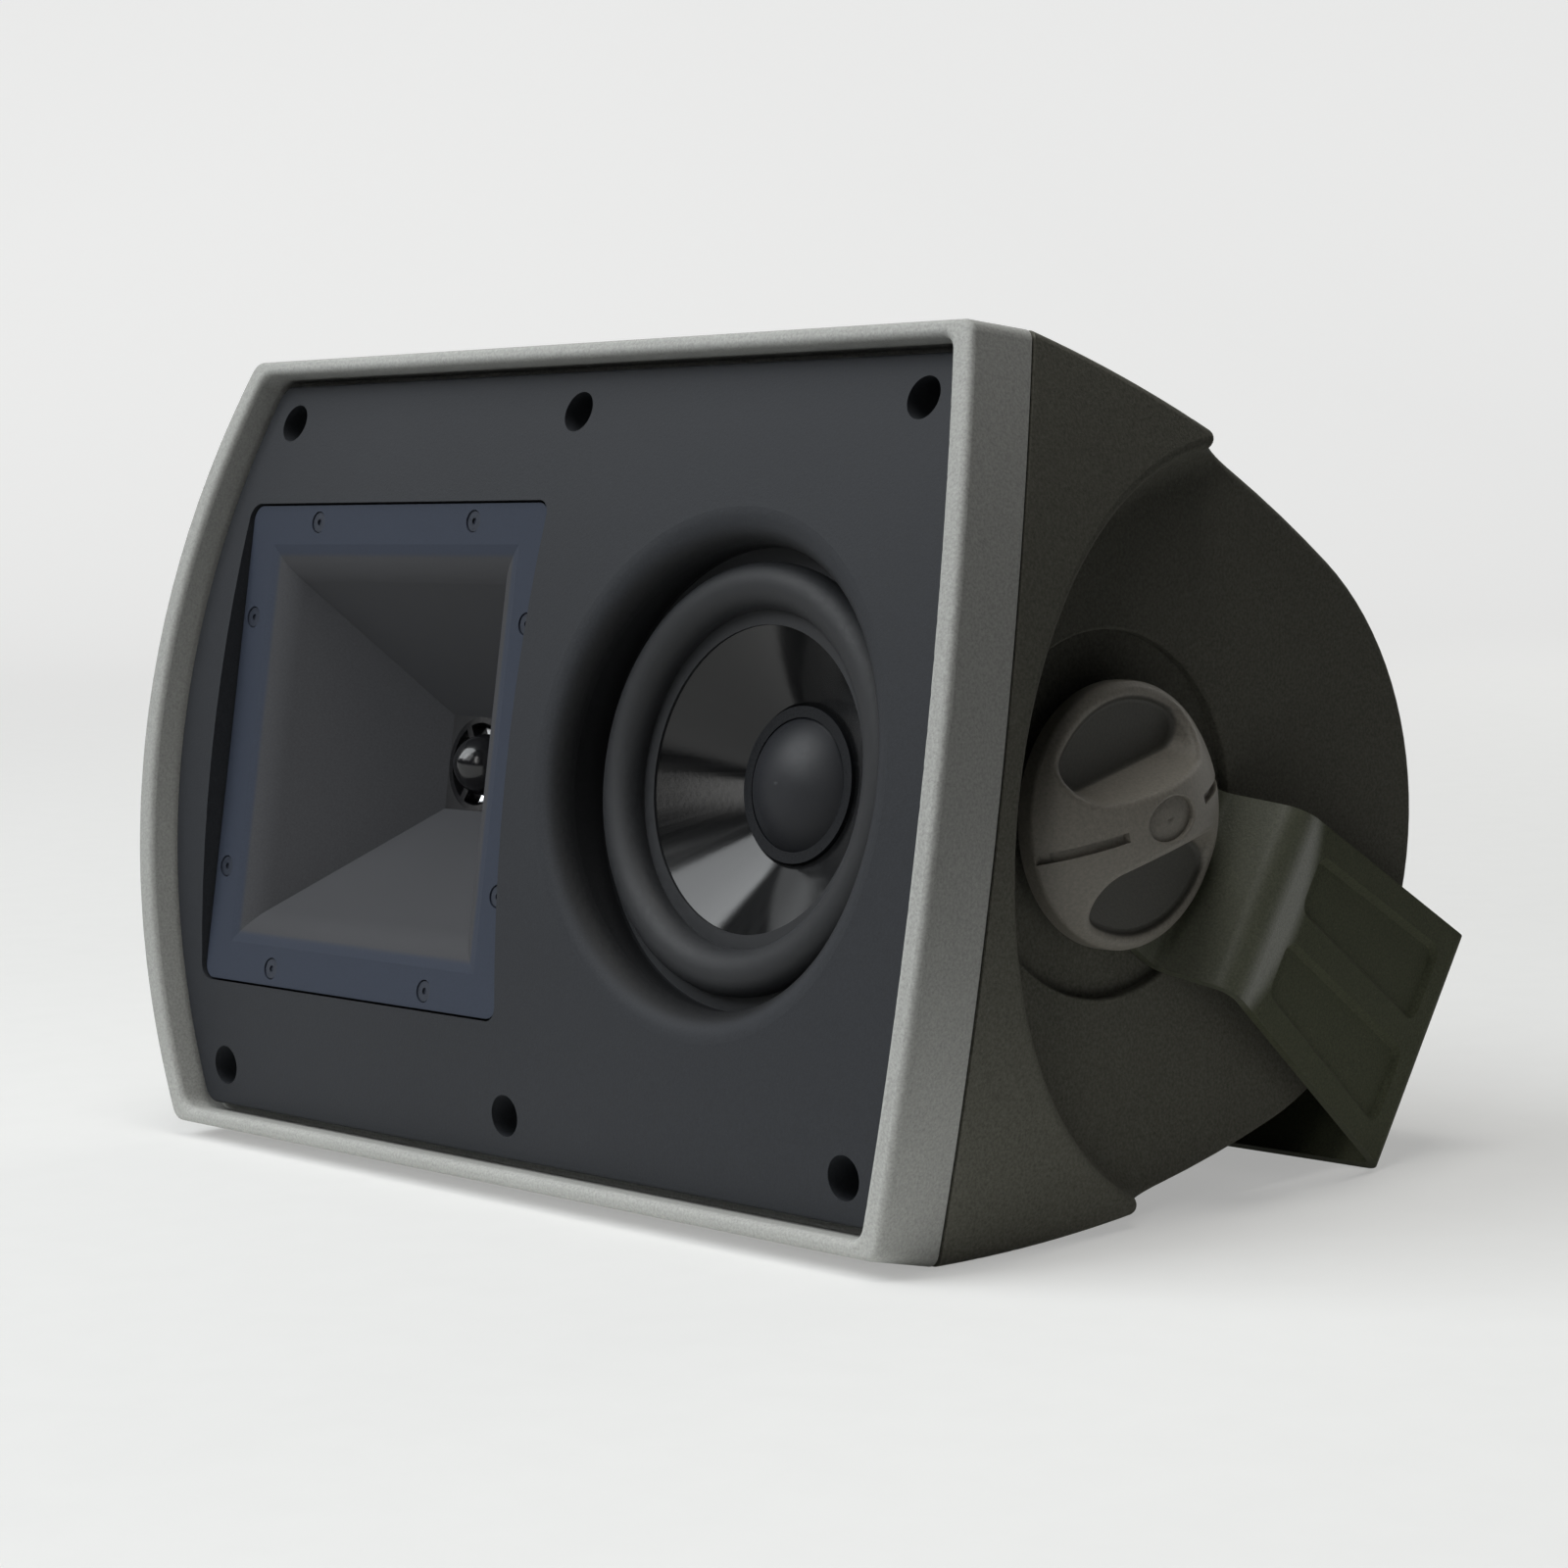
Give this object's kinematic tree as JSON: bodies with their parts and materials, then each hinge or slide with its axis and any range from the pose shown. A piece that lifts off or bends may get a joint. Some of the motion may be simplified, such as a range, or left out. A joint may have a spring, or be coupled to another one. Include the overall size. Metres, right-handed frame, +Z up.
{
  "type": "outdoor patio speaker",
  "caption": "Weatherproof two-way outdoor speaker lying on its side: bowed cabinet with a horn and a woofer on an open baffle, and a swivelling yoke bracket held by two clamp knobs.",
  "frame": {"origin": "centre of the bounding box at the level the speaker rests on", "axes": "+X along the cabinet's length, from the horn to the woofer; +Y from the front to the back; +Z up"},
  "size_m": [0.311, 0.2038, 0.2082],
  "materials": {
    "baffle_plastic": "matte",
    "bezel_plastic": "fine sand texture",
    "black_rubber": "satin",
    "board": "laminate",
    "bracket_metal": "powder coat",
    "brass": "plain",
    "bright_metal": "polished",
    "cabinet_plastic": "fine sand texture",
    "cloth": "impregnated cloth",
    "cone_plastic": "gloss",
    "copper": "enamelled wire",
    "dark_screw": "black oxide",
    "dust_plastic": "matte",
    "ferrite": "ground",
    "film": "film",
    "horn_plastic": "satin",
    "knob_plastic": "matte",
    "steel": "plated"
  },
  "bodies": {
    "cabinet": {"front_bezel": "bezel_plastic", "cabinet_shell": "cabinet_plastic", "seam_gasket": "black_rubber", "baffle": "baffle_plastic", "baffle_screws": "dark_screw", "horn": "horn_plastic", "horn_gasket": "black_rubber", "horn_screws": "dark_screw", "tweeter_front_plate": "steel", "phase_plug": "bright_metal", "tweeter_diaphragm": "bright_metal", "tweeter_magnet": "ferrite", "tweeter_back_plate": "steel", "tweeter_screws": "dark_screw", "woofer_gasket": "black_rubber", "woofer_basket": "bracket_metal", "woofer_screws": "dark_screw", "woofer_surround": "black_rubber", "spider": "cloth", "woofer_top_plate": "steel", "woofer_magnet": "ferrite", "woofer_back_plate": "steel", "terminal_cup": "baffle_plastic", "terminal_screws": "dark_screw", "binding_posts": "brass", "binding_post_caps": "knob_plastic", "crossover_board": "board", "inductors": "copper", "capacitors": "film", "resistors": "dust_plastic", "board_screws": "dark_screw", "threaded_inserts": "brass", "rubber_washers": "black_rubber"},
    "bracket": {"bracket": "bracket_metal", "knob_washers": "dust_plastic"},
    "right_knob": {"right_knob": "knob_plastic", "right_knob_stud": "steel"},
    "left_knob": {"left_knob": "knob_plastic", "left_knob_stud": "steel"},
    "woofer_diaphragm": {"woofer_cone": "cone_plastic", "dust_cap": "dust_plastic", "voice_coil_former": "bright_metal", "voice_coil_winding": "copper"}
  },
  "joints": [
    {"name": "bracket_swing", "type": "hinge", "parent": "cabinet", "child": "bracket", "pos_m": [0, -0.02031, 0.09521], "axis": [1, 0, 0], "range_deg": [-52, 98]},
    {"name": "right_knob_turn", "type": "hinge", "parent": "cabinet", "child": "right_knob", "pos_m": [0, -0.02031, 0.09521], "axis": [1, 0, 0], "range_deg": [0, 360]},
    {"name": "left_knob_turn", "type": "hinge", "parent": "cabinet", "child": "left_knob", "pos_m": [0, -0.02031, 0.09521], "axis": [-1, 0, 0], "range_deg": [0, 360]},
    {"name": "cone_travel", "type": "slide", "parent": "cabinet", "child": "woofer_diaphragm", "axis": [0, -0.9843, 0.1766], "range_m": [-0.003, 0.003], "stiffness_N_per_m": 1200, "deforming": ["woofer_surround", "spider"]}
  ]
}
